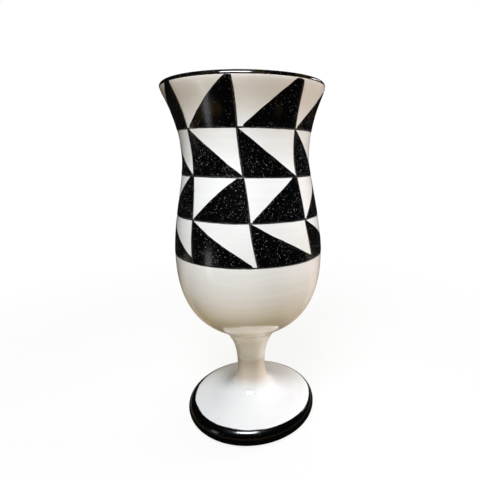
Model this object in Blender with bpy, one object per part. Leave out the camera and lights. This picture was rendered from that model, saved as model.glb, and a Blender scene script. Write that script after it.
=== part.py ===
"""Footed ceramic beer tumbler: a turned bowl, stem and foot joined with slip, with painted black fields.

The outside is one turned outline, and each clay piece is a slice of it, so the pieces stay flush when a
size changes. The black glaze on the rim and the foot's edge lies in a shallow step of the clay, and the
black triangles lie on the wall of the bowl in rows and columns.
"""

import math

import bmesh
import bpy
import numpy as np

# Radii of the outside, in metres: the tumbler stands on z = 0, and Z is its axis. The rim sets the width of
# the bowl, whose waist and belly lie this far in from it.
RIM_RADIUS = 0.0416
WAIST_INSET = 0.0081
BELLY_INSET = 0.0008
HEEL_RADIUS = 0.0217
STEM_RADIUS = 0.0084
FOOT_RADIUS = 0.0394
LIP_ROUND = 0.0023
FOOT_EDGE_ROUND = 0.0052

# Heights of the outside: the stem's thinnest place, then each rise from there to the rim.
STEM_HEIGHT = 0.0315
NECK_RISE = 0.0282
CUP_RISE = 0.0419
SHOULDER_RISE = 0.0528
FLARE_RISE = 0.0356
HEIGHT = STEM_HEIGHT + NECK_RISE + CUP_RISE + SHOULDER_RISE + FLARE_RISE

# How steeply the outside rises where two curves meet, from the horizontal.
LIP_SLOPE = math.radians(61.4)
HEEL_SLOPE = math.radians(31.0)
FOOT_SLOPE = math.radians(24.0)

# How far each curve follows its tangents at its lower and upper end, as shares of its own rise or reach.
FLARE_PULL = (0.53, 0.19)
SHOULDER_PULL = (0.36, 0.19)
CUP_PULL = (0.55, 0.61)
NECK_PULL = (0.41, 1.0)
FOOT_PULL = (0.44, 0.97)

# Inside of the bowl and the underside of the foot.
WALL = 0.004
BOWL_BASE = 0.0126
BOWL_FLOOR_REACH = 0.022
STANDING_RING = 0.006
RECESS_HEIGHT = 0.0095
RECESS_REACH = 0.016
RECESS_RISE = 0.004

# Slip joints: how far the upper one is below the heel and the lower one below the stem's thinnest place.
BOWL_JOINT_DROP = 0.0092
FOOT_JOINT_DROP = 0.0120
SLIP = 0.0008

# Black glaze: its thickness, the gap to what it lies on, and where it ends on the rim and the foot's edge.
COAT = 0.00035
SEAT_GAP = 0.0003
RIM_GLAZE_DROP = 0.0026
RIM_GLAZE_INSIDE = 0.0034
EDGE_BARE = 0.0012

# Painted fields: rows from the rim glaze down, columns round the bowl, and how each line of corners turns.
ROWS = 4
ROW_PITCH = 0.02075
COLUMNS = 8
FIRST_TURN = math.radians(-8.0)
ROW_TURN = math.radians(3.3)
FRONT_SPREAD = math.radians(2.2)
FIELD_MARGIN = 0.0003
FIELD_STEPS = 5

# Fineness of the turned shapes.
SEGMENTS = 48
CURVE_STEPS = 7
WALL_LINE_STEPS = 64
ROUND_STEPS = 5
SHARP_ANGLE = math.radians(35)
AXIS_MERGE = 0.00001

WHITE_GLAZE = ("white_glaze", (0.80, 0.77, 0.70, 1.0), 0.18)
CLAY_SLIP = ("clay_slip", (0.66, 0.60, 0.50, 1.0), 0.55)
BLACK_GLAZE = ("black_glaze", (0.010, 0.009, 0.009, 1.0), 0.15)


def point(radius, height):
    return np.array((radius, height))


def curve(start, start_handle, end_handle, end, steps):
    """Points of a cubic curve, both ends included."""
    t = np.linspace(0, 1, steps + 1)[:, None]
    back = 1 - t
    return back**3 * start + 3 * back**2 * t * start_handle + 3 * back * t**2 * end_handle + t**3 * end


def arc(centre, radius, first, last):
    """Points of an arc from one angle to another, both ends included."""
    angles = np.linspace(first, last, ROUND_STEPS + 1)
    return centre + radius * np.stack([np.cos(angles), np.sin(angles)], axis=1)


def joined(*runs):
    """One outline from runs that each start where the last one ended."""
    return np.vstack([run[:-1] for run in runs[:-1]] + [runs[-1]])


def between(outline, low, high):
    """The stretch of a rising outline from one height to another."""
    inner = outline[(outline[:, 1] > low + AXIS_MERGE) & (outline[:, 1] < high - AXIS_MERGE)]
    low_end, high_end = (point(np.interp(z, outline[:, 1], outline[:, 0]), z) for z in (low, high))
    return np.vstack([low_end, inner, high_end])


def set_in(outline, depth):
    """The outline moved to the left of its direction, which is into the clay on a rising outside."""
    along = np.gradient(outline, axis=0)
    along /= np.linalg.norm(along, axis=1)[:, None]
    return outline + depth * np.stack([-along[:, 1], along[:, 0]], axis=1)


def upright(start, end, share):
    """A handle straight up, as a share of the rise between two points."""
    return point(0, share * (end[1] - start[1]))


def sloping(start, end, slope, share):
    """A handle up a slope, as a share of the reach between two points."""
    return share * abs(end[0] - start[0]) * point(math.cos(slope), math.sin(slope))


# The points where the curves of the outside meet.
foot_edge_centre = point(FOOT_RADIUS - FOOT_EDGE_ROUND, FOOT_EDGE_ROUND)
foot_edge_top = foot_edge_centre + FOOT_EDGE_ROUND * point(math.sin(FOOT_SLOPE), math.cos(FOOT_SLOPE))
thinnest = point(STEM_RADIUS, STEM_HEIGHT)
heel = point(HEEL_RADIUS, STEM_HEIGHT + NECK_RISE)
belly = point(RIM_RADIUS - BELLY_INSET, heel[1] + CUP_RISE)
waist = point(RIM_RADIUS - WAIST_INSET, belly[1] + SHOULDER_RISE)
lip_centre = point(RIM_RADIUS - LIP_ROUND, HEIGHT - LIP_ROUND)
lip_side = LIP_ROUND * point(math.sin(LIP_SLOPE), -math.cos(LIP_SLOPE))
wall = point(WALL, 0)

# The flat faces at the slip joints, and the floor of the bowl.
bowl_bottom = heel[1] - BOWL_JOINT_DROP
stem_top = bowl_bottom - SLIP
stem_bottom = STEM_HEIGHT - FOOT_JOINT_DROP
foot_crown = stem_bottom - SLIP
bowl_floor = bowl_bottom + BOWL_BASE


def shoulder(start, end, steps):
    """The wall from the belly in to the waist, outside or inside."""
    return curve(
        start,
        start + upright(start, end, SHOULDER_PULL[0]),
        end - upright(start, end, SHOULDER_PULL[1]),
        end,
        steps,
    )


def flare(start, end, steps):
    """The wall from the waist out to the lip, outside or inside."""
    rise = end[1] - start[1]
    lip_handle = FLARE_PULL[1] * rise * point(math.cos(LIP_SLOPE), math.sin(LIP_SLOPE))
    return curve(start, start + upright(start, end, FLARE_PULL[0]), end - lip_handle, end, steps)


def outside_outline(steps):
    """The outside, from the top of the foot's round edge up to the round lip."""
    foot_top = curve(
        foot_edge_top,
        foot_edge_top + sloping(foot_edge_top, thinnest, math.pi - FOOT_SLOPE, FOOT_PULL[0]),
        thinnest - upright(foot_edge_top, thinnest, FOOT_PULL[1]),
        thinnest,
        steps,
    )
    neck = curve(
        thinnest,
        thinnest + upright(thinnest, heel, NECK_PULL[0]),
        heel - sloping(thinnest, heel, HEEL_SLOPE, NECK_PULL[1]),
        heel,
        steps,
    )
    cup = curve(
        heel,
        heel + sloping(heel, belly, HEEL_SLOPE, CUP_PULL[0]),
        belly - upright(heel, belly, CUP_PULL[1]),
        belly,
        steps,
    )
    flared = flare(waist, lip_centre + lip_side, steps)
    return joined(foot_top, neck, cup, shoulder(belly, waist, steps), flared)


def inside_outline(steps):
    """The inside of the bowl, from its floor on the axis up to the round lip."""
    hollow = curve(
        point(0, bowl_floor),
        point(BOWL_FLOOR_REACH, bowl_floor),
        belly - wall - upright(heel, belly, CUP_PULL[1]),
        belly - wall,
        steps,
    )
    flared = flare(waist - wall, lip_centre - lip_side, steps)
    return joined(hollow, shoulder(belly - wall, waist - wall, steps), flared)


outside = outside_outline(CURVE_STEPS)
inside = inside_outline(CURVE_STEPS)
wall_line = outside_outline(WALL_LINE_STEPS)


def rim_outline(clearance):
    """The finished outline over the lip, from the glaze's edge outside to its edge inside."""
    lip_low, lip_high = LIP_SLOPE - math.pi / 2, LIP_SLOPE + math.pi / 2
    up_outside = joined(outside, arc(lip_centre, LIP_ROUND, lip_low, math.pi / 2))
    up_inside = joined(inside, arc(lip_centre, LIP_ROUND, lip_high, math.pi / 2))
    outer = between(up_outside, HEIGHT - RIM_GLAZE_DROP + clearance, HEIGHT)
    inner = between(up_inside, HEIGHT - RIM_GLAZE_INSIDE + clearance, HEIGHT)
    return joined(outer, inner[::-1])


def edge_angle(height):
    """The angle at which the foot's round edge reaches this height, on its lower side."""
    return math.asin((height - FOOT_EDGE_ROUND) / FOOT_EDGE_ROUND)


def edge_outline(clearance):
    """The finished outline of the foot's edge that carries glaze, from low to high."""
    high = math.pi / 2 - FOOT_SLOPE - clearance / FOOT_EDGE_ROUND
    return arc(foot_edge_centre, FOOT_EDGE_ROUND, edge_angle(EDGE_BARE + clearance), high)


def material(settings):
    name, colour, roughness = settings
    made = bpy.data.materials.get(name) or bpy.data.materials.new(name)
    made.use_nodes = True
    shader = made.node_tree.nodes["Principled BSDF"]
    shader.inputs["Base Color"].default_value = colour
    shader.inputs["Roughness"].default_value = roughness
    shader.inputs["Metallic"].default_value = 0.0
    made.diffuse_color = colour
    return made


def finished(name, shape, settings):
    """An object of this closed shape, faces out and round faces shaded smooth."""
    bmesh.ops.recalc_face_normals(shape, faces=shape.faces)
    mesh = bpy.data.meshes.new(name)
    shape.to_mesh(mesh)
    shape.free()
    mesh.shade_smooth()
    mesh.set_sharp_from_angle(angle=SHARP_ANGLE)
    mesh.materials.append(material(settings))
    piece = bpy.data.objects.new(name, mesh)
    bpy.context.scene.collection.objects.link(piece)
    return piece


def turned(name, outline, settings, ring=False):
    """A piece turned from its outline, which is closed on a ring and otherwise runs from axis to axis."""
    shape = bmesh.new()
    corners = [shape.verts.new((radius, 0, height)) for radius, height in outline]
    pairs = list(zip(corners, corners[1:]))
    if ring:
        pairs.append((corners[-1], corners[0]))
    edges = [shape.edges.new(pair) for pair in pairs]
    bmesh.ops.spin(
        shape, geom=corners + edges, axis=(0, 0, 1), angle=2 * math.pi, steps=SEGMENTS, use_merge=True
    )
    bmesh.ops.remove_doubles(shape, verts=shape.verts, dist=AXIS_MERGE)
    return finished(name, shape, settings)


def coat(name, outline, settings):
    """A ring of glaze: the finished outline outside, and the glaze's thickness under it."""
    return turned(name, np.vstack([outline, set_in(outline, COAT)[::-1]]), settings, ring=True)


def disc_outline(low, high):
    """A solid slice of the outside, from the axis at its top to the axis at its bottom."""
    return np.vstack([point(0, high), between(outside, low, high)[::-1], point(0, low)])


def corner_angle(row_line, column):
    """Angle round the bowl of a painted corner: 0 faces the front, and the front columns are the widest."""
    even = column * 2 * math.pi / COLUMNS
    return even + FRONT_SPREAD * math.sin(even) + FIRST_TURN + row_line * ROW_TURN


def wall_radius(height):
    return np.interp(height, wall_line[:, 1], wall_line[:, 0])


def on_wall(angle, height, off):
    """A point this far off the outside of the bowl."""
    below, radius, above = wall_radius(np.array((height - SEAT_GAP, height, height + SEAT_GAP)))
    tilt = math.atan2(above - below, 2 * SEAT_GAP)
    radius += off * math.cos(tilt)
    return radius * math.sin(angle), -radius * math.cos(angle), height - off * math.sin(tilt)


def field_corners(row, column):
    """The corners of one black triangle: its base is on the lower line, its tip on the upper line."""
    top = HEIGHT - RIM_GLAZE_DROP - row * ROW_PITCH
    bottom = top - ROW_PITCH
    tip_column = column + 1 if row % 2 == 0 else column
    corners = [
        (corner_angle(row + 1, column), bottom),
        (corner_angle(row + 1, column + 1), bottom),
        (corner_angle(row, tip_column), top),
    ]
    return drawn_in(np.array(corners))


def drawn_in(corners):
    """The triangle with each side moved in by the margin, measured on the wall."""
    radius = wall_radius(corners[:, 1].mean())
    flat = corners * (radius, 1)
    sides = np.linalg.norm(np.roll(flat, -1, axis=0) - np.roll(flat, 1, axis=0), axis=1)
    middle = sides @ flat / sides.sum()
    first, second = flat[1] - flat[0], flat[2] - flat[0]
    inner_radius = abs(first[0] * second[1] - first[1] * second[0]) / sides.sum()
    return (middle + (flat - middle) * (1 - FIELD_MARGIN / inner_radius)) / (radius, 1)


def painted_field(row, column):
    """One black triangle: a thin plate that follows the wall."""
    corners = field_corners(row, column)
    shape = bmesh.new()
    layers = []
    for off in (SEAT_GAP, SEAT_GAP + COAT):
        layer = {}
        for i in range(FIELD_STEPS + 1):
            for j in range(FIELD_STEPS + 1 - i):
                weights = np.array((FIELD_STEPS - i - j, i, j)) / FIELD_STEPS
                layer[i, j] = shape.verts.new(on_wall(*(weights @ corners), off))
        for i in range(FIELD_STEPS):
            for j in range(FIELD_STEPS - i):
                shape.faces.new((layer[i, j], layer[i + 1, j], layer[i, j + 1]))
                if i + j < FIELD_STEPS - 1:
                    shape.faces.new((layer[i + 1, j], layer[i + 1, j + 1], layer[i, j + 1]))
        layers.append(layer)
    lower, upper = layers
    around = [(i, 0) for i in range(FIELD_STEPS)]
    around += [(FIELD_STEPS - j, j) for j in range(FIELD_STEPS)]
    around += [(0, FIELD_STEPS - j) for j in range(FIELD_STEPS)]
    for here, there in zip(around, around[1:] + around[:1]):
        shape.faces.new((lower[here], lower[there], upper[there], upper[here]))
    return finished(f"painted_field_r{row + 1}_c{column + 1}", shape, BLACK_GLAZE)


for old in list(bpy.data.objects):
    bpy.data.objects.remove(old, do_unlink=True)

# Bowl: up the inside, over the lip in its step under the rim glaze, and down the outside to its joint.
turned(
    "bowl",
    np.vstack(
        [
            between(inside, bowl_floor, HEIGHT - RIM_GLAZE_INSIDE),
            set_in(rim_outline(0), COAT + SEAT_GAP)[::-1],
            between(outside, bowl_bottom, HEIGHT - RIM_GLAZE_DROP)[::-1],
            point(0, bowl_bottom),
        ]
    ),
    WHITE_GLAZE,
)

# Stem and slip: flat scored faces stuck with slip, flush with the outside.
turned("bowl_joint_slip", disc_outline(stem_top, bowl_bottom), CLAY_SLIP)
turned("stem", disc_outline(stem_bottom, stem_top), WHITE_GLAZE)
turned("foot_joint_slip", disc_outline(foot_crown, stem_bottom), CLAY_SLIP)

# Foot: from its joint down the top, round the edge in its step, and over the standing ring into the recess.
ring_inner = foot_edge_centre[0] - STANDING_RING
turned(
    "foot",
    np.vstack(
        [
            point(0, foot_crown),
            between(outside, foot_edge_top[1], foot_crown)[::-1],
            set_in(edge_outline(0), COAT + SEAT_GAP)[::-1],
            arc(foot_edge_centre, FOOT_EDGE_ROUND, edge_angle(EDGE_BARE), -math.pi / 2),
            curve(
                point(ring_inner, 0),
                point(ring_inner, RECESS_RISE),
                point(RECESS_REACH, RECESS_HEIGHT),
                point(0, RECESS_HEIGHT),
                CURVE_STEPS,
            ),
        ]
    ),
    WHITE_GLAZE,
)

# Black glaze: the rim, the foot's edge, and the rows of painted triangles.
coat("rim_glaze", rim_outline(SEAT_GAP), BLACK_GLAZE)
coat("foot_edge_glaze", edge_outline(SEAT_GAP), BLACK_GLAZE)
for row in range(ROWS):
    for column in range(COLUMNS):
        painted_field(row, column)
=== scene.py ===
import math

import bmesh
import bpy
import numpy as np
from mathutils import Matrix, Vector


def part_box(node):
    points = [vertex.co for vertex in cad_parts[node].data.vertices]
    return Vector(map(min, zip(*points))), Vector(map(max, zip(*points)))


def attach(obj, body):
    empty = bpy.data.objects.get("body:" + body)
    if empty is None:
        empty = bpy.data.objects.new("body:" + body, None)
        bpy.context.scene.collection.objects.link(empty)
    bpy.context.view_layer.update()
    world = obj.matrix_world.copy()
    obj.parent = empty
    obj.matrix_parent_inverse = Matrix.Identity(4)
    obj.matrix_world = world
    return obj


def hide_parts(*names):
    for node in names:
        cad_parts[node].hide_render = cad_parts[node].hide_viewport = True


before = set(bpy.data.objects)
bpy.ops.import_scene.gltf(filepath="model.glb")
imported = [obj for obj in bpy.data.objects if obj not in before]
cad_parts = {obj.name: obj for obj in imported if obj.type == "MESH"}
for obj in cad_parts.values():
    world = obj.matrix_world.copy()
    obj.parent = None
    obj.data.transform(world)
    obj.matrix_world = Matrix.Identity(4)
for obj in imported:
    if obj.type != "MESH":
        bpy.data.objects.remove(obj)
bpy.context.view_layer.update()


# Foot: a thrown disc of pale stoneware, hollowed below to stand on a ring, joined to the stem by slip.
# Its top sweeps up into the stem, and its round edge is cut back a hair for the black glaze.
# Glossy white glaze covers foot, stem and bowl, clear where it pooled, with painted shade low on the stem
# and on the flare under the lip.
BLACK_COAT = 0.00015
FOOT_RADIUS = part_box("foot_edge_glaze")[1].x - BLACK_COAT
FOOT_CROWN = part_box("foot")[1].z
FOOT_EDGE_ROUND = 0.0054
FOOT_SLOPE = math.radians(24.0)
FOOT_SWEEP = (0.0123, 0.0209)
STEM_RADIUS = 0.0084
STEM_HEIGHT = 0.0315
STANDING_RING = 0.006
HOLLOW_HEIGHT = 0.0095
HOLLOW_SWEEP = (0.004, 0.016)
BEND_STEPS = 40
ROUND_STEPS = 14
FACETS = 168
OUT_OF_ROUND = 0.003
WHEEL_SEED = 4.0
SWAY_SCALE = 0.8
SWAY_RISE = 12.0
STROKE_SCALE = 3.0
STROKE_SHAKE = 1.2
STROKE_TILT = 1.1
SAME_PLACE = 1e-6
SHARP_ANGLE = math.radians(40)
STREAK_SCALE = (26.0, 26.0, 430.0)
CLOUD_SCALE = 36.0
RIPPLE_SCALE = 240.0
PINHOLE = 0.0004
PINHOLE_APART = 0.016
# Painted shade: heights where the lower stem, in the bowl's shade, and the downward-facing flare are
# tinted darker.
STEM_SHADE_FROM = (0.018, 0.026)
STEM_SHADE_UP_TO = (0.0355, 0.0385)
FLARE_SHADE_SHARE = 0.5
FLARE_SHADE_FROM = (0.169, 0.179)
POOL_FROM = (0.052, 0.058)
POOL_UP_TO = (0.073, 0.085)
POOL_IOR = 1.9
GLAZE_IOR = 1.55
GLAZE_RELIEF = 0.0001
GLAZE_WHITE = (0.88, 0.885, 0.882, 1.0)
GLAZE_CREAM = (0.83, 0.825, 0.805, 1.0)
# Darker warm colour painted on as shade, on the lower stem and the flare under the lip.
PAINTED_SHADE_TINT = (0.70, 0.63, 0.55, 1.0)


class Wire:
    """An output of a node. Sums on wires add Math nodes to their tree, and node adds any other kind."""

    def __init__(self, tree, socket=None):
        self.tree = tree
        self.socket = socket

    def node(self, kind, settings=None, inputs=None):
        """A new node with its settings, then the values or wires of its inputs, as its first output."""
        made = self.tree.nodes.new(kind)
        for name, value in (settings or {}).items():
            setattr(made, name, value)
        for key, value in (inputs or {}).items():
            if isinstance(value, Wire):
                self.tree.links.new(value.socket, made.inputs[key])
            else:
                made.inputs[key].default_value = value
        return Wire(self.tree, made.outputs[0] if made.outputs else None)

    def out(self, name):
        """Another output of the same node."""
        return Wire(self.tree, self.socket.node.outputs[name])

    def sum(self, operation, first, second=0.0):
        """A Math node on one value or two."""
        return self.node("ShaderNodeMath", {"operation": operation}, {0: first, 1: second})

    def __add__(self, other):
        return self.sum("ADD", self, other)

    def __radd__(self, other):
        return self.sum("ADD", other, self)

    def __sub__(self, other):
        return self.sum("SUBTRACT", self, other)

    def __rsub__(self, other):
        return self.sum("SUBTRACT", other, self)

    def __mul__(self, other):
        return self.sum("MULTIPLY", self, other)

    def __rmul__(self, other):
        return self.sum("MULTIPLY", other, self)

    def __truediv__(self, other):
        return self.sum("DIVIDE", self, other)

    def fade(self, start, end):
        """0 before start and 1 after end, with a soft step between."""
        limits = {"Value": self, "From Min": start, "From Max": end}
        return self.node("ShaderNodeMapRange", {"interpolation_type": "SMOOTHSTEP"}, limits)

    def stretched(self, *factors):
        """A vector with its X, Y and Z multiplied."""
        return self.node("ShaderNodeVectorMath", {"operation": "MULTIPLY"}, {0: self, 1: factors})

    def noise(self, scale, detail=2.0):
        """Soft random value from 0 to 1 at this vector."""
        return self.node("ShaderNodeTexNoise", None, {"Vector": self, "Scale": scale, "Detail": detail})

    def grains(self, size):
        """Distance to the nearest of scattered grains this far apart, and a random colour for each."""
        return self.node("ShaderNodeTexVoronoi", None, {"Vector": self, "Scale": 1.0 / size})

    def colours(self, none, full):
        """The colour none where this value is 0, and full where it is 1."""
        ends = {0: self, 6: none, 7: full}
        blended = self.node("ShaderNodeMix", {"data_type": "RGBA"}, ends)
        return blended.out(2)


def glaze(name):
    """A new material's empty tree, and the place of its pattern on the object."""
    made = bpy.data.materials.new(name)
    made.use_nodes = True
    made.node_tree.nodes.clear()
    place = Wire(made.node_tree).node("ShaderNodeTexCoord").out("Object")
    return made, place


def fired(material, place, relief, depth, **inputs):
    """Ends a glaze in its shader: relief in metres of depth, and the shader's own inputs."""
    bump = place.node("ShaderNodeBump", None, {"Height": relief, "Distance": depth})
    named = {key.replace("_", " "): value for key, value in inputs.items()}
    shader = place.node("ShaderNodeBsdfPrincipled", None, {"Normal": bump, **named})
    place.node("ShaderNodeOutputMaterial", None, {"Surface": shader})
    return material


def warm_white_glaze():
    """White glaze: streaks from the wheel, clouds, a few pinholes, painted shade on the lower stem and
    the flare, and pooled in one place.
    """
    material, place = glaze("warm_white_glaze")
    height = place.node("ShaderNodeSeparateXYZ", None, {0: place}).out("Z")
    streaks = place.stretched(*STREAK_SCALE).noise(1.0, detail=3.0)
    clouds = place.noise(CLOUD_SCALE, detail=3.0)
    ripple = place.noise(RIPPLE_SCALE)
    hole = PINHOLE / PINHOLE_APART
    pinhole = 1.0 - place.grains(PINHOLE_APART).fade(0.3 * hole, hole)
    cream = (streaks + 0.5 * clouds + 0.5 * pinhole - 0.35).fade(0.15, 0.8)
    # Painted shade: the lower stem in the bowl's shade and the flare under the lip, which faces down, are
    # tinted darker.
    thin_and_shaded = height.fade(*STEM_SHADE_FROM) - height.fade(*STEM_SHADE_UP_TO) + FLARE_SHADE_SHARE * height.fade(*FLARE_SHADE_FROM)
    return fired(
        material,
        place,
        relief=0.5 * streaks + 0.5 * ripple - pinhole,
        depth=GLAZE_RELIEF,
        Base_Color=thin_and_shaded.colours(cream.colours(GLAZE_WHITE, GLAZE_CREAM), PAINTED_SHADE_TINT),
        Roughness=0.05 + 0.06 * clouds,
        IOR=GLAZE_IOR,
        Coat_Weight=height.fade(*POOL_FROM) - height.fade(*POOL_UP_TO),
        Coat_IOR=POOL_IOR,
    )


def tree_of(name, inputs):
    """A new node tree for a modifier, with these named inputs and one output."""
    tree = bpy.data.node_groups.new(name, "GeometryNodeTree")
    for label, kind in inputs.items():
        tree.interface.new_socket(label, in_out="INPUT", socket_type="NodeSocket" + kind)
    tree.interface.new_socket("Piece", in_out="OUTPUT", socket_type="NodeSocketGeometry")
    return tree, Wire(tree).node("NodeGroupInput")


def ends_in(tree, piece, material):
    """The end of every tree: a real mesh with its glaze."""
    smooth = piece.node("GeometryNodeSetShadeSmooth", None, {"Geometry": piece})
    real = smooth.node("GeometryNodeRealizeInstances", None, {"Geometry": smooth})
    glazed = real.node("GeometryNodeSetMaterial", None, {"Geometry": real, "Material": material})
    glazed.node("NodeGroupOutput", None, {"Piece": glazed})
    return tree


def wheel_tree():
    """Turns an outline in the XZ plane round Z, a little out of round, with brushed ends that stray."""
    tree, given = tree_of(
        "turned on the wheel",
        {
            "Outline": "Geometry",
            "Facets": "Int",
            "Out of round": "Float",
            "Seed": "Float",
            "Glaze": "Material",
        },
    )
    outline = given.out("Outline")
    size = given.node("GeometryNodeAttributeDomainSize", {"component": "MESH"}, {"Geometry": outline})
    last = size.out("Point Count") - 1
    grid = given.node(
        "GeometryNodeMeshGrid",
        None,
        {
            "Size X": last,
            "Size Y": math.tau,
            "Vertices X": last + 1,
            "Vertices Y": given.out("Facets") + 1,
        },
    )
    here = given.node("GeometryNodeInputPosition")
    spot = here.node("ShaderNodeSeparateXYZ", None, {0: here})
    index = given.sum("ROUND", spot.out("X") + last / 2)
    turn = spot.out("Y")
    corner = given.node(
        "GeometryNodeSampleIndex",
        {"data_type": "FLOAT_VECTOR", "domain": "POINT"},
        {"Geometry": outline, "Value": here, "Index": index},
    )
    noted = {}
    for label, kind in (("edge", "FLOAT"), ("stray", "FLOAT_VECTOR")):
        named = given.node("GeometryNodeInputNamedAttribute", {"data_type": kind}, {"Name": label})
        noted[label] = given.node(
            "GeometryNodeSampleIndex",
            {"data_type": kind, "domain": "POINT"},
            {"Geometry": outline, "Value": named, "Index": index},
        )
    side, front = given.sum("SINE", turn), given.sum("COSINE", turn)
    stroke = given.node("ShaderNodeCombineXYZ", None, {"X": side, "Y": front, "Z": given.out("Seed")})
    strength = STROKE_SHAKE * (stroke.noise(STROKE_SCALE) - 0.5) - STROKE_TILT * side
    stray = given.node(
        "ShaderNodeVectorMath",
        {"operation": "SCALE"},
        {0: noted["stray"], "Scale": strength},
    )
    strayed = given.node("ShaderNodeVectorMath", {"operation": "ADD"}, {0: corner, 1: stray})
    drawn = strayed.node("ShaderNodeSeparateXYZ", None, {0: strayed})
    height = drawn.out("Z")
    around = {"X": side, "Y": front, "Z": height * SWAY_RISE + given.out("Seed")}
    sway = given.node("ShaderNodeCombineXYZ", None, around).noise(SWAY_SCALE, detail=0.0) - 0.5
    radius = drawn.out("X") * (1.0 + sway * given.out("Out of round"))
    place = {"X": radius * side, "Y": 0.0 - radius * front, "Z": height}
    stored = grid.node(
        "GeometryNodeStoreNamedAttribute",
        {"data_type": "FLOAT", "domain": "POINT"},
        {"Geometry": grid, "Name": "edge", "Value": noted["edge"]},
    )
    turned_round = stored.node(
        "GeometryNodeSetPosition",
        None,
        {"Geometry": stored, "Position": given.node("ShaderNodeCombineXYZ", None, place)},
    )
    closed = turned_round.node(
        "GeometryNodeMergeByDistance",
        None,
        {"Geometry": turned_round, "Distance": SAME_PLACE},
    )
    return ends_in(tree, closed, given.out("Glaze"))


def made_by(tree, name, mesh, **values):
    """A finished piece: the tree run on this mesh with these inputs, as a plain mesh at the origin."""
    piece = bpy.data.objects.new(name, mesh)
    bpy.context.scene.collection.objects.link(piece)
    steps = piece.modifiers.new(tree.name, "NODES")
    steps.node_group = tree
    for socket in tree.interface.items_tree:
        key = socket.name.replace(" ", "_")
        if socket.in_out == "INPUT" and key in values:
            steps[socket.identifier] = values[key]
    graph = bpy.context.evaluated_depsgraph_get()
    result = bpy.data.meshes.new_from_object(piece.evaluated_get(graph))
    piece.modifiers.remove(steps)
    if result.materials[0] is None:
        result.materials.pop(index=0)
    shell = bmesh.new()
    shell.from_mesh(result)
    bmesh.ops.recalc_face_normals(shell, faces=shell.faces)
    shell.to_mesh(result)
    shell.free()
    result.set_sharp_from_angle(angle=SHARP_ANGLE)
    piece.data = result
    return piece


def point(radius, height):
    """A place on an outline: how far from the axis, and how high."""
    return np.array((radius, height))


def slope(angle, length=1.0):
    """A step of this length at this angle above the horizontal."""
    return length * point(math.cos(angle), math.sin(angle))


def bend(start, out, back, end, steps=BEND_STEPS):
    """A cubic curve that leaves start along out and reaches end from back."""
    t = np.linspace(0, 1, steps + 1)[:, None]
    rest = 1 - t
    near, far = start + out, end + back
    return rest**3 * start + 3 * rest**2 * t * near + 3 * rest * t**2 * far + t**3 * end


def rounding(centre, radius, first, last):
    """An arc from one angle to another."""
    angles = np.linspace(first, last, ROUND_STEPS + 1)
    return np.array([centre + slope(angle, radius) for angle in angles])


def between(line, low, high):
    """The stretch of a rising line from one height to another."""
    inner = line[(line[:, 1] > low + SAME_PLACE) & (line[:, 1] < high - SAME_PLACE)]
    ends = [point(np.interp(z, line[:, 1], line[:, 0]), z) for z in (low, high)]
    return np.vstack([ends[0], inner, ends[1]])


def turned(name, material, line, edge=None, stray=None):
    """A piece turned on the wheel. A brushed one has its distances from the edge and its strays."""
    outline = bpy.data.meshes.new("outline")
    steps = [(i, i + 1) for i in range(len(line) - 1)]
    outline.from_pydata([(radius, 0, height) for radius, height in line], steps, [])
    if edge is not None:
        strays = np.insert(stray, 1, 0.0, axis=1).ravel()
        outline.attributes.new("edge", "FLOAT", "POINT").data.foreach_set("value", edge)
        outline.attributes.new("stray", "FLOAT_VECTOR", "POINT").data.foreach_set("vector", strays)
    return made_by(
        wheel,
        name,
        outline,
        Facets=FACETS,
        Out_of_round=OUT_OF_ROUND,
        Seed=WHEEL_SEED,
        Glaze=material,
    )


wheel = wheel_tree()
white = warm_white_glaze()
foot_edge_centre = point(FOOT_RADIUS - FOOT_EDGE_ROUND, FOOT_EDGE_ROUND)
foot_edge = rounding(foot_edge_centre, FOOT_EDGE_ROUND, math.pi / 2 - FOOT_SLOPE, -math.pi / 2)
thinnest = point(STEM_RADIUS, STEM_HEIGHT)
foot_rise = slope(math.pi - FOOT_SLOPE, FOOT_SWEEP[0])
foot_top = bend(foot_edge[0], foot_rise, point(0, -FOOT_SWEEP[1]), thinnest)
ring_inner = point(foot_edge_centre[0] - STANDING_RING, 0)
hollow = bend(ring_inner, point(0, HOLLOW_SWEEP[0]), point(HOLLOW_SWEEP[1], 0), point(0, HOLLOW_HEIGHT))
foot_upper = between(foot_top, foot_edge[0][1], FOOT_CROWN)
foot_line = np.vstack([point(0, FOOT_CROWN), foot_upper[:0:-1], foot_edge, hollow])
foot = turned("white_foot", white, foot_line)
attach(foot, "root")
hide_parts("foot")


# Slip joints: liquid clay brushed between the scored flat faces of the foot, the stem and the bowl.
# It squeezed out a little under the bowl, was wiped round, and shows through the glaze as a faint ring.
# The neck that runs from the stem into the bowl keeps three fine rings of the turning tool.
BEAD = {"foot_joint_slip": 0.0, "bowl_joint_slip": 0.00012}
SLIP_SCALE = 240.0
SLIP_PALE = (0.86, 0.855, 0.835, 1.0)
SLIP_TAN = (0.78, 0.755, 0.70, 1.0)
NECK_RISE = 0.0281
NECK_STEPS = 140
HEEL_RADIUS = 0.0217
HEEL_SLOPE = math.radians(29.7)
NECK_SWEEP = (0.0150, 0.0095)
TOOL_RINGS = (0.0461, 0.0476, 0.0488)
TOOL_RING_DEPTH = 0.00014
TOOL_RING_WIDTH = 0.0003


def glazed_slip():
    """Fired slip seen through thin white glaze, a little darker in spots."""
    material, place = glaze("glazed_slip")
    blots = place.noise(SLIP_SCALE, detail=3.0)
    return fired(
        material,
        place,
        relief=blots,
        depth=GLAZE_RELIEF,
        Base_Color=blots.fade(0.3, 0.8).colours(SLIP_PALE, SLIP_TAN),
        Roughness=0.07 + 0.08 * blots,
        IOR=GLAZE_IOR,
    )


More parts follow.
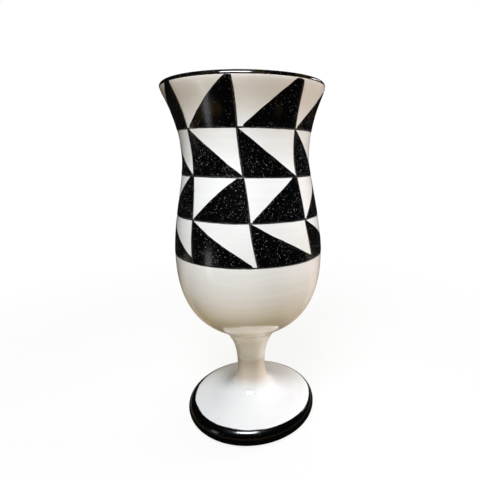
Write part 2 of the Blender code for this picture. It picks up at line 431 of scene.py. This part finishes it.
slip = glazed_slip()
heel = point(HEEL_RADIUS, STEM_HEIGHT + NECK_RISE)
neck = bend(thinnest, point(0, NECK_SWEEP[0]), slope(HEEL_SLOPE, -NECK_SWEEP[1]), heel, NECK_STEPS)
for ring in TOOL_RINGS:
    neck[:, 0] -= TOOL_RING_DEPTH * np.exp(-(((neck[:, 1] - ring) / TOOL_RING_WIDTH) ** 2))
stem_line = np.vstack([foot_top[:-1], neck])
beads = []
for joint, proud in BEAD.items():
    low, high = (corner.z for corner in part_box(joint))
    rise = np.linspace(0, math.pi, ROUND_STEPS + 1)
    heights = low + (high - low) * (1 - np.cos(rise)) / 2
    radii = np.interp(heights, stem_line[:, 1], stem_line[:, 0]) + proud * np.sin(rise)
    side = np.stack([radii, heights], axis=1)
    bead_line = np.vstack([point(0, high), side[::-1], point(0, low)])
    bead = turned(joint.replace("slip", "ring"), slip, bead_line)
    beads.append(bead)
    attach(bead, "root")
    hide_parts(joint)


# Stem: a short solid waist of clay, turned to a smooth sweep between the foot and the bowl.
# It is stuck to both with slip while leather-hard, and white glaze runs over it without a break.
stem_low, stem_high = (corner.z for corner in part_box("stem"))
stem_side = between(stem_line, stem_low, stem_high)
stem_outline = np.vstack([point(0, stem_high), stem_side[::-1], point(0, stem_low)])
stem = turned("white_stem", white, stem_outline)
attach(stem, "root")
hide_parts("stem")


# Bowl: thrown on the wheel in one piece, round below, drawn in at the waist and flared to the lip.
# White glaze covers it inside and out, and the lip is a hair thinner where the black glaze lies on it.
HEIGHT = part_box("rim_glaze")[1].z - BLACK_COAT
RIM_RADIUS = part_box("rim_glaze")[1].x - BLACK_COAT
BOWL_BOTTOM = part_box("bowl")[0].z
BOWL_BASE = 0.0126
WALL = 0.004
BELLY_RADIUS = 0.04095
BELLY_HEIGHT = 0.1016
WAIST_RADIUS = 0.0335
WAIST_HEIGHT = 0.1544
LIP_ROUND = 0.0016
LIP_SLOPE = math.radians(84.0)
CUP_SWEEP = (0.0108, 0.0256)
SHOULDER_SWEEP = (0.0190, 0.0100)
FLARE_SWEEP = (0.0201, 0.0039)
FLOOR_SWEEP = 0.022

belly = point(BELLY_RADIUS, BELLY_HEIGHT)
waist = point(WAIST_RADIUS, WAIST_HEIGHT)
wall = point(WALL, 0)
lip_side = slope(LIP_SLOPE - math.pi / 2, LIP_ROUND)
lip_centre = point(RIM_RADIUS, HEIGHT) - point(LIP_ROUND, LIP_ROUND)
lip = rounding(lip_centre, LIP_ROUND, LIP_SLOPE - math.pi / 2, LIP_SLOPE + math.pi / 2)


def shoulder_and_flare(inset, lip_start):
    """The wall from the belly in to the waist and out to the lip, outside or inside."""
    shoulder = bend(
        belly - inset, point(0, SHOULDER_SWEEP[0]), point(0, -SHOULDER_SWEEP[1]), waist - inset
    )
    flare = bend(waist - inset, point(0, FLARE_SWEEP[0]), slope(LIP_SLOPE, -FLARE_SWEEP[1]), lip_start)
    return np.vstack([shoulder[:-1], flare])


cup = bend(heel, slope(HEEL_SLOPE, CUP_SWEEP[0]), point(0, -CUP_SWEEP[1]), belly)
bowl_outside = np.vstack([neck[:-1], cup[:-1], shoulder_and_flare(point(0, 0), lip_centre + lip_side)])
bowl_floor = point(0, BOWL_BOTTOM + BOWL_BASE)
basin = bend(bowl_floor, point(FLOOR_SWEEP, 0), point(0, -CUP_SWEEP[1]), belly - wall)
bowl_inside = np.vstack([basin[:-1], shoulder_and_flare(wall, lip_centre - lip_side)])
bowl_side = between(bowl_outside, BOWL_BOTTOM, lip[0][1])
bowl_outline = np.vstack([bowl_inside[:-1], lip[::-1], bowl_side[-2::-1], point(0, BOWL_BOTTOM)])
bowl = turned("white_bowl", white, bowl_outline)
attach(bowl, "root")
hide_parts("bowl")


# Rim glaze: black glaze brushed over the lip, two millimetres down outside and over three inside.
# It is glossiest here, where it pooled. Fine pale specks lie in it, and it turns brown where it is thin.
RIM_BAND_DROP = 0.00185
RIM_BAND_INSIDE = 0.0034
RIM_STRAY = 0.0001
LIP_RISING = 3
COAT_EDGE = 0.0005
COAT_ROOT = 0.0003
COAT_STEPS = 44
BRUSHED_SCALE = 160.0
GRIT_SCALE = 1100.0
DRIFT_SCALE = 125.0
TABLE_SHEEN_SCALE = 75.0
SPECK = 0.00075
FINE_SPECK = 0.0005
SPECK_RARITY = 1.12
FINE_RARITY = 1.09
THIN_EDGE = 0.0007
BROWN_ABOVE = (0.163, 0.175)
SPECKED_ABOVE = (0.01, 0.07)
FOOT_POOLED = 0.15
POOLED_BELOW = (0.012, 0.03)
POOLED_ABOVE = (0.1855, 0.187)
BLACK_IOR = 1.7
BLACK_RELIEF = 0.00006
GLAZE_BLACK = (0.0005, 0.0005, 0.0006, 1.0)
GLAZE_BROWN = (0.035, 0.018, 0.010, 1.0)
# Brown of the warm table, painted on as its reflection in the black glaze high up.
GLAZE_TABLE_SHEEN = (0.013, 0.0075, 0.0022, 1.0)
GLAZE_GREY = (0.035, 0.036, 0.039, 1.0)
SPECK_GREY = (0.58, 0.585, 0.60, 1.0)


def brushed_black_glaze():
    """Black glaze: grey or brown at its thin edge, a painted brown reflection of the table in spots high
    up, and flecked in pale drifts.
    """
    material, place = glaze("brushed_black_glaze")
    edge = place.node("ShaderNodeAttribute", {"attribute_name": "edge"}).out("Fac")
    height = place.node("ShaderNodeSeparateXYZ", None, {0: place}).out("Z")
    brushed = place.noise(BRUSHED_SCALE, detail=3.0)
    grit = place.noise(GRIT_SCALE)
    thin_and_shaded = (1.0 - edge / THIN_EDGE + 1.2 * (brushed - 0.5) + 1.4 * (grit - 0.5)).fade(0.2, 1.1)
    top_row = height.fade(*BROWN_ABOVE)
    dense = 0.35 * height.fade(*SPECKED_ABOVE) - 0.15 * top_row - 0.35
    drift = place.noise(DRIFT_SCALE, detail=3.0) + dense
    flecks = []
    for size, rarity in ((SPECK, SPECK_RARITY), (FINE_SPECK, FINE_RARITY)):
        grain = place.grains(size)
        chance = grain.node("ShaderNodeSeparateColor", None, {0: grain.out("Color")})
        shown = (chance.out("Red") + 0.9 * drift).fade(rarity, rarity + 0.2)
        flecks.append((1.0 - grain.fade(0.06, 0.3)) * shown * chance.out("Green"))
    speck = place.sum("MAXIMUM", *flecks)
    pooled = FOOT_POOLED - FOOT_POOLED * height.fade(*POOLED_BELOW) + height.fade(*POOLED_ABOVE)
    # Painted reflection: brown patches on the top row and rim stand for the warm table mirrored in the
    # glaze.
    table_sheen = top_row * place.noise(TABLE_SHEEN_SCALE).fade(0.5, 0.68)
    fringe = top_row.colours(GLAZE_GREY, GLAZE_BROWN)
    body = thin_and_shaded.colours(table_sheen.colours(GLAZE_BLACK, GLAZE_TABLE_SHEEN), fringe)
    return fired(
        material,
        place,
        relief=0.6 * brushed + 0.4 * speck,
        depth=BLACK_RELIEF,
        Base_Color=speck.colours(body, SPECK_GREY),
        Roughness=0.13 - 0.07 * pooled + 0.08 * brushed + 0.3 * speck,
        IOR=BLACK_IOR,
    )


def beside(line, depth):
    """The line moved to the left of its direction."""
    along = np.gradient(line, axis=0)
    along /= np.linalg.norm(along, axis=1)[:, None]
    return line + np.reshape(depth, (-1, 1)) * np.stack([-along[:, 1], along[:, 0]], axis=1)


def coat(name, line, stray):
    """A turned skin of black glaze on this line of the clay. Its ends round into the clay and stray."""
    steps = np.linalg.norm(np.diff(line, axis=0), axis=1)
    length = np.concatenate([[0], np.cumsum(steps)])
    share = (1 - np.cos(np.linspace(0, math.pi, COAT_STEPS + 1))) / 2
    along = stray + share * (length[-1] - 2 * stray)
    laid, strayed = (
        np.stack([np.interp(place, length, line[:, axis]) for axis in (0, 1)], axis=1)
        for place in (along, along + stray * (2 * share - 1))
    )
    edge = np.minimum(along - along[0], along[-1] - along)
    short = 1 - np.minimum(edge / COAT_EDGE, 1)
    lift = (BLACK_COAT + COAT_ROOT / 2) * np.sqrt(1 - short**2) - COAT_ROOT / 2
    skin, root, off = beside(laid, -lift), beside(laid, COAT_ROOT), strayed - laid
    return turned(
        name,
        black,
        np.vstack([skin, root[::-1], skin[:1]]),
        [*edge, *edge[::-1], edge[0]],
        np.vstack([off, off[::-1], off[:1]]),
    )


black = brushed_black_glaze()
rim_outside = np.vstack([bowl_side[:-1], lip[: LIP_RISING + 1]])
rim_low = between(rim_outside, HEIGHT - RIM_BAND_DROP - RIM_STRAY, rim_outside[-1][1])
rim_inside = between(bowl_inside, HEIGHT - RIM_BAND_INSIDE, bowl_inside[-1][1])
rim_line = np.vstack([rim_low[:-1], lip[LIP_RISING:-1], rim_inside[::-1]])
rim_glaze = coat("black_rim", rim_line, RIM_STRAY)
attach(rim_glaze, "root")
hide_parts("rim_glaze")


# Foot edge glaze: the same black glaze, laid on the turning foot with one stroke of a full brush.
# It wraps the round edge from the rise of the foot down to just above the standing surface.
EDGE_BARE = 0.0007
EDGE_CREEP = 0.00045
EDGE_STRAY = 0.0010
edge_low = math.asin((EDGE_BARE - FOOT_EDGE_ROUND) / FOOT_EDGE_ROUND)
edge_arc = rounding(foot_edge_centre, FOOT_EDGE_ROUND, edge_low, math.pi / 2 - FOOT_SLOPE)
edge_creep = between(foot_top, edge_arc[-1][1], edge_arc[-1][1] + EDGE_CREEP)
foot_edge_glaze = coat("black_foot_edge", np.vstack([edge_arc[:-1], edge_creep]), EDGE_STRAY)
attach(foot_edge_glaze, "root")
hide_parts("foot_edge_glaze")


# Guide lines: thin dark lines that mark out the rows and columns before the fields are filled.
# They are drawn by eye with a fine brush, and show along the black fields and where corners meet.
LINE_HEIGHTS = (0.1881, 0.1678, 0.1459, 0.1253, 0.1045)
LINE_TILT = 0.0004
# Degrees round the bowl of the left, middle and right corners in front, line by line from the rim down.
FRONT_TURNS = (
    (-52.2, -7.3, 40.0),
    (-50.6, -6.2, 42.0),
    (-47.8, -2.9, 44.2),
    (-44.5, 0.8, 46.8),
    (-42.9, 5.6, 52.0),
)
COLUMNS = 8
LINE_BRUSH = 0.0011
LINE_PROUD = 0.0001
LINE_SHAKE = 0.0003
SIDE_BOW = 0.0003
LINE_STEP = math.radians(1.5)
RAY_START = 0.06
SHAKE_SCALE = 4.0
SHAKE_RISE = 25.0
PRESS_SCALE = 14.0
TIP_SIDES = 20
LINE_DARK = (0.005, 0.005, 0.006, 1.0)
LINE_PALE = (0.10, 0.10, 0.105, 1.0)
DRY_SCALE = 800.0
LINE_IOR = 1.5
LINE_RELIEF = 0.00005


def corner_turns(line):
    """Angles round the bowl of a line's painted corners: the middle one, then on round to it again."""
    left, middle, right = (math.radians(turn) for turn in FRONT_TURNS[line])
    behind = np.linspace(right, left + math.tau, COLUMNS - 1)
    return [middle, *behind, middle + math.tau]


def line_height(line, turn):
    """Height of a ruled line at an angle: the lines dip a little to the right."""
    return LINE_HEIGHTS[line] - LINE_TILT * math.sin(turn)


def line_wash():
    """Thin black wash: dark where the brush paused and grey where it ran dry."""
    material, place = glaze("line_wash")
    dry = place.noise(DRY_SCALE, detail=3.0)
    return fired(
        material,
        place,
        relief=dry,
        depth=LINE_RELIEF,
        Base_Color=dry.fade(0.42, 0.72).colours(LINE_DARK, LINE_PALE),
        Roughness=0.25 + 0.2 * dry,
        IOR=LINE_IOR,
    )


def on_bowl(shape, turn, height, off):
    """The point of the bowl's outside at this angle and height, and this far off its surface."""
    side, front = turn.sum("SINE", turn), turn.sum("COSINE", turn)
    start = {"X": side * RAY_START, "Y": 0.0 - front * RAY_START, "Z": height}
    inward = {"X": 0.0 - side, "Y": front, "Z": 0.0}
    hit = turn.node(
        "GeometryNodeRaycast",
        None,
        {
            "Target Geometry": shape,
            "Source Position": turn.node("ShaderNodeCombineXYZ", None, start),
            "Ray Direction": turn.node("ShaderNodeCombineXYZ", None, inward),
            "Ray Length": RAY_START,
        },
    )
    scaled = {0: hit.out("Hit Normal"), "Scale": off}
    step = hit.node("ShaderNodeVectorMath", {"operation": "SCALE"}, scaled)
    return hit.node("ShaderNodeVectorMath", {"operation": "ADD"}, {0: hit.out("Hit Position"), 1: step})


def brush_tree():
    """Lays lines, given as angle and height, on the bowl as low beads of a shaky brush."""
    tree, given = tree_of(
        "drawn with a fine brush",
        {
            "Lines": "Geometry",
            "Bowl": "Object",
            "Brush": "Float",
            "Proud": "Float",
            "Shake": "Float",
            "Glaze": "Material",
        },
    )
    shape = given.node("GeometryNodeObjectInfo", None, {"Object": given.out("Bowl")}).out("Geometry")
    curve = given.node("GeometryNodeMeshToCurve", None, {"Mesh": given.out("Lines")})
    here = given.node("GeometryNodeInputPosition")
    flat = here.node("ShaderNodeSeparateXYZ", None, {0: here})
    turn, height = flat.out("X"), flat.out("Z")
    round_trip = {"X": turn.sum("SINE", turn), "Y": turn.sum("COSINE", turn), "Z": height * SHAKE_RISE}
    circle = given.node("ShaderNodeCombineXYZ", None, round_trip)
    shaken = height + (circle.noise(SHAKE_SCALE) - 0.5) * given.out("Shake") * 2.0
    press = 0.5 + circle.noise(PRESS_SCALE)
    pressed = given.node("GeometryNodeSetCurveRadius", None, {"Curve": curve, "Radius": press})
    off = given.out("Proud") - given.out("Brush") * press
    laid = pressed.node(
        "GeometryNodeSetPosition",
        None,
        {"Geometry": pressed, "Position": on_bowl(shape, turn, shaken, off)},
    )
    tip = given.node(
        "GeometryNodeCurvePrimitiveCircle",
        None,
        {"Resolution": TIP_SIDES, "Radius": given.out("Brush")},
    )
    swept = laid.node(
        "GeometryNodeCurveToMesh",
        None,
        {
            "Curve": laid,
            "Profile Curve": tip,
            "Scale": given.node("GeometryNodeInputRadius"),
            "Fill Caps": True,
        },
    )
    return ends_in(tree, swept, given.out("Glaze"))


def ruled_lines():
    """The rows and columns as chains of points, each an angle and a height."""
    places, steps = [], []
    for line in range(1, len(LINE_HEIGHTS)):
        first = len(places)
        count = round(math.tau / LINE_STEP)
        places += [(LINE_STEP * i, 0, line_height(line, LINE_STEP * i)) for i in range(count)]
        steps += [(first + i, first + (i + 1) % count) for i in range(count)]
    for line in range(len(LINE_HEIGHTS) - 1):
        lean = 1 - 2 * (line % 2)
        for upper, lower in zip(corner_turns(line)[:-1], corner_turns(line + 1)):
            first = len(places)
            ends = ((upper, line_height(line, upper)), (lower, line_height(line + 1, lower)))
            for share in np.linspace(0, 1, ROUND_STEPS + 1):
                turn, height = np.array(ends[0]) * (1 - share) + np.array(ends[1]) * share
                bowed = lean * SIDE_BOW / WAIST_RADIUS * 4 * share * (1 - share)
                places.append((turn + bowed, 0, height))
            steps += [(first + i, first + i + 1) for i in range(ROUND_STEPS)]
    mesh = bpy.data.meshes.new("ruled lines")
    mesh.from_pydata(places, steps, [])
    return mesh


guide_lines = made_by(
    brush_tree(),
    "guide_lines",
    ruled_lines(),
    Bowl=bowl,
    Brush=LINE_BRUSH,
    Proud=LINE_PROUD,
    Shake=LINE_SHAKE,
    Glaze=line_wash(),
)
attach(guide_lines, "root")


# Painted fields: right-angled triangles of black glaze, filled in by hand between the guide lines.
# The brush left round corners, sides that waver, and blunt tips where a row leans to the right.
ROWS = 4
# For each row the front left field, the front right one and the rest: how wide the tip is, how much is
# cut off the point (below zero, how high its blunt end is) and how far the slanted side bows.
STROKES = (
    ((0.0022, 0.0013, -0.0001), (0.0033, 0.0018, 0.0001), (0.0036, 0.0, 0.0)),
    ((0.0010, -0.0006, 0.0001), (0.0002, -0.0004, -0.0006), (0.0002, -0.0004, -0.0006)),
    ((0.0028, 0.0, 0.0009), (0.0033, 0.0002, 0.0008), (0.0026, 0.0006, 0.0009)),
    ((0.0002, 0.0012, 0.0007), (0.0002, -0.0021, -0.0002), (0.0002, -0.0022, 0.0003)),
)
BOW_STEPS = 8
CORNER_STEPS = 8
FIELD_CORNER = 0.0006
FIELD_WAVER = 0.0006
WAVER_SCALE = 75.0
FIELD_ROUND = 0.0005
FIELD_SUNK = 0.0001
FIELD_RINGS = 14
FIELD_AROUND = 132


def field_tree():
    """Fills a closed line, drawn flat as length round the wall and height, with glaze on the bowl."""
    tree, given = tree_of(
        "filled with the brush",
        {
            "Outline": "Geometry",
            "Bowl": "Object",
            "Wall radius": "Float",
            "Corner round": "Float",
            "Waver": "Float",
            "Coat": "Float",
            "Seed": "Float",
            "Glaze": "Material",
        },
    )
    shape = given.node("GeometryNodeObjectInfo", None, {"Object": given.out("Bowl")}).out("Geometry")
    sides = given.node("GeometryNodeMeshToCurve", None, {"Mesh": given.out("Outline")})
    soft = given.node(
        "GeometryNodeFilletCurve",
        {"mode": "POLY"},
        {
            "Curve": sides,
            "Radius": given.out("Corner round"),
            "Limit Radius": True,
            "Count": CORNER_STEPS,
        },
    )
    drawn = given.node(
        "GeometryNodeResampleCurve",
        {"mode": "COUNT"},
        {"Curve": soft, "Count": FIELD_AROUND},
    )
    here = given.node("GeometryNodeInputPosition")
    seeded = given.node("ShaderNodeCombineXYZ", None, {"Z": given.out("Seed")})
    strayed = here.node("ShaderNodeVectorMath", {"operation": "ADD"}, {0: here, 1: seeded})
    stray = strayed.noise(WAVER_SCALE).out("Color")
    centred = stray.node(
        "ShaderNodeVectorMath",
        {"operation": "SUBTRACT"},
        {0: stray, 1: (0.5, 0.5, 0.5)},
    )
    flat_stray = centred.stretched(1.0, 1.0, 0.0)
    waver = flat_stray.node(
        "ShaderNodeVectorMath",
        {"operation": "SCALE"},
        {0: flat_stray, "Scale": given.out("Waver") * 2.0},
    )
    outline = drawn.node("GeometryNodeSetPosition", None, {"Geometry": drawn, "Offset": waver})
    grid = given.node(
        "GeometryNodeMeshGrid",
        None,
        {
            "Size X": 2.0,
            "Size Y": float(FIELD_AROUND),
            "Vertices X": 2 * FIELD_RINGS + 1,
            "Vertices Y": FIELD_AROUND + 1,
        },
    )
    spot = here.node("ShaderNodeSeparateXYZ", None, {0: here})
    inner = given.sum("ABSOLUTE", spot.out("X"))
    front = given.sum("LESS_THAN", spot.out("X"), 0.0)
    step = given.sum("ROUND", spot.out("Y") + FIELD_AROUND / 2)
    rim = given.node(
        "GeometryNodeSampleIndex",
        {"data_type": "FLOAT_VECTOR", "domain": "POINT"},
        {"Geometry": outline, "Value": here, "Index": given.sum("MODULO", step, FIELD_AROUND)},
    )
    middle = given.node(
        "GeometryNodeAttributeStatistic",
        {"data_type": "FLOAT_VECTOR"},
        {"Geometry": outline, "Attribute": here},
    )
    blended = given.node(
        "ShaderNodeMix",
        {"data_type": "VECTOR"},
        {0: 1.0 - inner * inner, 4: middle.out("Mean"), 5: rim},
    )
    flat = blended.out(1)
    wire = given.node("GeometryNodeCurveToMesh", None, {"Curve": outline})
    edge = given.node(
        "GeometryNodeProximity",
        {"target_element": "EDGES"},
        {"Geometry": wire, "Sample Position": flat},
    ).out("Distance")
    short = 1.0 - given.sum("MINIMUM", edge / FIELD_ROUND, 1.0)
    lift = given.sum("SQRT", 1.0 - short * short)
    off = (given.out("Coat") + FIELD_SUNK) * lift * front - FIELD_SUNK
    drawn_at = flat.node("ShaderNodeSeparateXYZ", None, {0: flat})
    turn, height = drawn_at.out("X") / given.out("Wall radius"), drawn_at.out("Y")
    stored = grid.node(
        "GeometryNodeStoreNamedAttribute",
        {"data_type": "FLOAT", "domain": "POINT"},
        {"Geometry": grid, "Name": "edge", "Value": edge},
    )
    laid = stored.node(
        "GeometryNodeSetPosition",
        None,
        {"Geometry": stored, "Position": on_bowl(shape, turn, height, off)},
    )
    closed = laid.node("GeometryNodeMergeByDistance", None, {"Geometry": laid, "Distance": SAME_PLACE})
    return ends_in(tree, closed, given.out("Glaze"))


def field_outline(row, column, radius):
    """A field's closed line laid flat: along the base, up the upright side to the tip, down the slant."""
    tip_width, cut, bow = STROKES[row][{COLUMNS - 1: 0, 0: 1}.get(column, 2)]
    lean = 1 - 2 * (row % 2)
    upright, far = (column + 1, column) if lean > 0 else (column, column + 1)
    turns = corner_turns(row + 1)[far], corner_turns(row + 1)[upright], corner_turns(row)[upright]
    lines = row + 1, row + 1, row
    end, corner, tip = (
        point(turn * radius, line_height(line, turn)) for turn, line in zip(turns, lines)
    )
    end += point(lean * max(cut, 0), 0)
    corners = [end, corner, tip, tip - point(lean * tip_width, 0), end + point(0, max(-cut, 0))]
    bows = 0.0, SIDE_BOW, 0.0, bow
    places = []
    for start, stop, bowed in zip(corners, corners[1:], bows):
        along = stop - start
        outward = lean * point(along[1], -along[0]) / np.linalg.norm(along)
        shares = np.linspace(0, 1, BOW_STEPS + 1)[:-1] if bowed else [0.0]
        places += [start + along * t + outward * 4 * bowed * t * (1 - t) for t in shares]
    if cut < 0:
        places.append(corners[-1])
    mesh = bpy.data.meshes.new("field outline")
    steps = [(i, (i + 1) % len(places)) for i in range(len(places))]
    mesh.from_pydata([(along, height, 0) for along, height in places], steps, [])
    return mesh


filling = field_tree()
fields = []
for row in range(ROWS):
    middle_height = (LINE_HEIGHTS[row] + LINE_HEIGHTS[row + 1]) / 2
    radius = float(np.interp(middle_height, bowl_outside[:, 1], bowl_outside[:, 0]))
    for column in range(COLUMNS):
        place = f"r{row + 1}_c{column + 1}"
        field = made_by(
            filling,
            "black_triangle_" + place,
            field_outline(row, column, radius),
            Bowl=bowl,
            Wall_radius=radius,
            Corner_round=FIELD_CORNER,
            Waver=FIELD_WAVER,
            Coat=BLACK_COAT,
            Seed=float(row * COLUMNS + column),
            Glaze=black,
        )
        fields.append(field)
        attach(field, "root")
        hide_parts("painted_field_" + place)


# Firing: the soft clay settled a hair out of true in the kiln, with all that is painted on it.
# The foot and the rim went one way and the belly the other, by less than a millimetre.
# The rim warped a little too, and the foot is slightly oval.
LEAN = (0.0022, 0.0, 0.0014)
TRUE_AGAIN = 0.654
FOOT_OFF = (-0.0003, 0.0, 0.0)
RIM_LIFT = 0.00035
WARP_TO_RIGHT = 1.3
WARP_NEAR_RIM = 4
FOOT_OVAL = 0.007

for piece in (foot, foot_edge_glaze, *beads, stem, bowl, rim_glaze, guide_lines, *fields):
    places = np.empty(3 * len(piece.data.vertices), dtype=np.float32)
    piece.data.vertices.foreach_get("co", places)
    places = places.reshape(-1, 3)
    rise = np.maximum(places[:, 2:] - heel[1], 0) / (HEIGHT - heel[1])
    sunk = np.clip((BOWL_BOTTOM - places[:, 2:]) / (BOWL_BOTTOM - FOOT_CROWN), 0, 1)
    warp = np.expm1(WARP_TO_RIGHT * places[:, 0] / RIM_RADIUS) * rise[:, 0] ** WARP_NEAR_RIM
    places[:, 2] += RIM_LIFT * warp
    places[:, :2] += FOOT_OVAL * sunk * places[:, 1::-1]
    places += rise * (TRUE_AGAIN - rise) * np.array(LEAN) + sunk * np.array(FOOT_OFF)
    piece.data.vertices.foreach_set("co", places.ravel())
    piece.data.update()


# Floor, light and camera: a plain warm table under soft daylight from windows and walls, shown as white.
# They stand for the place where the tumbler was photographed and are no part of it.
FLOOR_SIZE = 4.0
FLOOR_PALE = (0.66, 0.50, 0.26, 1.0)
FLOOR_TAN = (0.28, 0.20, 0.09, 1.0)
TAN_FROM = (0.10, 0.24)
PLAIN_WHITE = (1.0, 1.0, 1.0, 1.0)
SHADED_WHITE = (0.9, 0.9, 0.9, 1.0)
FLOOR_WHITE = 0.86
WHITE_FROM = (0.10, 0.40)
MIRRORED_ROOM = (0.012, 0.012, 0.013, 1.0)
MIRRORED_TABLE = (0.42, 0.36, 0.27, 1.0)
MIRRORED_NEAR = (0.24, 0.17, 0.08, 1.0)
TABLE_NEAR = (0.03, 0.06)
TABLE_FAR = (0.12, 0.24)
# Painted shadow: out to here beside the foot, the mirrored table stays as dark as the room.
MIRRORED_FOOT_SHADOW = (0.052, 0.075)
TABLE_ROUND = (0.08, 0.13)
ROOM_LIGHT = (0.03, 0.03, 0.03, 1.0)
CAMERA_PLACE = (0.0, -0.20637, 0.15481)
CAMERA_PITCH = math.radians(15.64)
CAMERA_YAW = math.radians(-5.0)
CAMERA_LENS = 27.60
CAMERA_SHIFT = (-0.0835, 0.0423)
CAMERA_NEAR = 0.01
AIM = (0.0, 0.0, 0.1)


def as_seen(start, lit, mirrored, shown):
    """One thing with three looks: what lights the pot, what its glaze mirrors, what the camera sees."""
    path = start.node("ShaderNodeLightPath")
    reflected = path.out("Is Glossy Ray") + path.out("Is Transmission Ray")
    unseen = start.node("ShaderNodeMixShader", None, {0: reflected, 1: lit, 2: mirrored})
    return start.node("ShaderNodeMixShader", None, {0: path.out("Is Camera Ray"), 1: unseen, 2: shown})


def floor_finish():
    """A warm table, paler near the pot, that lights it from below and looks white with its soft shadow.

    What the glaze mirrors is a dark room, with a stretch of table behind the pot and a ring of it around,
    dark close to the foot as painted shadow.
    """
    made, place = glaze("floor")
    away = place.node("ShaderNodeVectorMath", {"operation": "LENGTH"}, {0: place}).out("Value")
    tabletop = away.fade(*TAN_FROM).colours(FLOOR_PALE, FLOOR_TAN)
    table = place.node("ShaderNodeBsdfDiffuse", None, {"Color": tabletop})
    sheet = place.node("ShaderNodeBsdfDiffuse", None, {"Color": SHADED_WHITE})
    glow = place.node("ShaderNodeEmission", None, {"Color": PLAIN_WHITE})
    depth = place.node("ShaderNodeSeparateXYZ", None, {0: place}).out("Y")
    # Painted shadow: the mirrored ring of table is dark close to the foot.
    ring = away.fade(*MIRRORED_FOOT_SHADOW) - away.fade(*TABLE_ROUND)
    behind = depth.fade(*TABLE_NEAR) - depth.fade(*TABLE_FAR)
    reflection = behind.colours(ring.colours(MIRRORED_ROOM, MIRRORED_NEAR), MIRRORED_TABLE)
    mirrored = place.node("ShaderNodeEmission", None, {"Color": reflection})
    white_share = FLOOR_WHITE + (1.0 - FLOOR_WHITE) * away.fade(*WHITE_FROM)
    backdrop = place.node("ShaderNodeMixShader", None, {0: white_share, 1: sheet, 2: glow})
    seen = as_seen(place, table, mirrored, backdrop)
    place.node("ShaderNodeOutputMaterial", None, {"Surface": seen})
    return made


def soft_lamp(name, place, size, brightness, colour, mirrored):
    """A flat soft lamp that faces the bowl from this place. One not mirrored leaves no highlight."""
    lamp = bpy.data.lights.new(name, "AREA")
    lamp.shape = "RECTANGLE"
    lamp.size, lamp.size_y = size
    lamp.energy = brightness * math.pi * size[0] * size[1]
    lamp.color = colour
    placed = bpy.data.objects.new(name, lamp)
    placed.location = place
    placed.rotation_euler = (Vector(place) - Vector(AIM)).to_track_quat("Z", "Y").to_euler()
    placed.visible_camera = False
    placed.visible_glossy = mirrored
    scene.collection.objects.link(placed)


scene = bpy.context.scene
scene.view_settings.view_transform = "Standard"

half = FLOOR_SIZE / 2
floor_mesh = bpy.data.meshes.new("floor")
floor_corners = [(-half, -half, 0), (half, -half, 0), (half, half, 0), (-half, half, 0)]
floor_mesh.from_pydata(floor_corners, [], [(0, 1, 2, 3)])
floor_mesh.materials.append(floor_finish())
floor = bpy.data.objects.new("floor", floor_mesh)
scene.collection.objects.link(floor)

world = bpy.data.worlds.new("room")
world.use_nodes = True
world.node_tree.nodes.clear()
air = Wire(world.node_tree)
room, mirrored_room, backdrop = (
    air.node("ShaderNodeBackground", None, {"Color": colour})
    for colour in (ROOM_LIGHT, MIRRORED_ROOM, PLAIN_WHITE)
)
air.node("ShaderNodeOutputWorld", None, {"Surface": as_seen(air, room, mirrored_room, backdrop)})
scene.world = world

soft_lamp(
    "front_window",
    place=(-0.056, -0.265, 0.459),
    size=(0.22, 0.12),
    brightness=29.3,
    colour=(0.90, 0.94, 1.0),
    mirrored=True,
)
soft_lamp(
    "right_window",
    place=(0.668, 0.417, 0.536),
    size=(0.50, 0.10),
    brightness=3.0,
    colour=(1.0, 0.93, 0.93),
    mirrored=True,
)
soft_lamp(
    "right_pane",
    place=(0.706, 0.344, 0.518),
    size=(0.14, 0.14),
    brightness=9.0,
    colour=(1.0, 0.95, 0.95),
    mirrored=True,
)
soft_lamp(
    "right_wall",
    place=(0.87, 0.217, 0.178),
    size=(0.25, 0.25),
    brightness=34.0,
    colour=(1.0, 0.93, 0.93),
    mirrored=False,
)
soft_lamp(
    "back_wall",
    place=(0.0, 0.216, 0.766),
    size=(0.27, 0.27),
    brightness=6.0,
    colour=(1.0, 0.92, 0.66),
    mirrored=False,
)
soft_lamp(
    "front_wall",
    place=(0.0, -0.673, 0.293),
    size=(0.27, 0.27),
    brightness=2.0,
    colour=(1.0, 0.97, 0.88),
    mirrored=False,
)
soft_lamp(
    "left_card",
    place=(-0.228, -0.145, 0.05),
    size=(0.045, 0.09),
    brightness=1.3,
    colour=(0.9, 0.95, 1.0),
    mirrored=True,
)

camera = bpy.data.objects.new("camera", bpy.data.cameras.new("camera"))
camera.location = CAMERA_PLACE
camera.rotation_euler = (math.pi / 2 - CAMERA_PITCH, 0.0, CAMERA_YAW)
camera.data.lens = CAMERA_LENS
camera.data.shift_x, camera.data.shift_y = CAMERA_SHIFT
camera.data.clip_start = CAMERA_NEAR
scene.collection.objects.link(camera)
scene.camera = camera
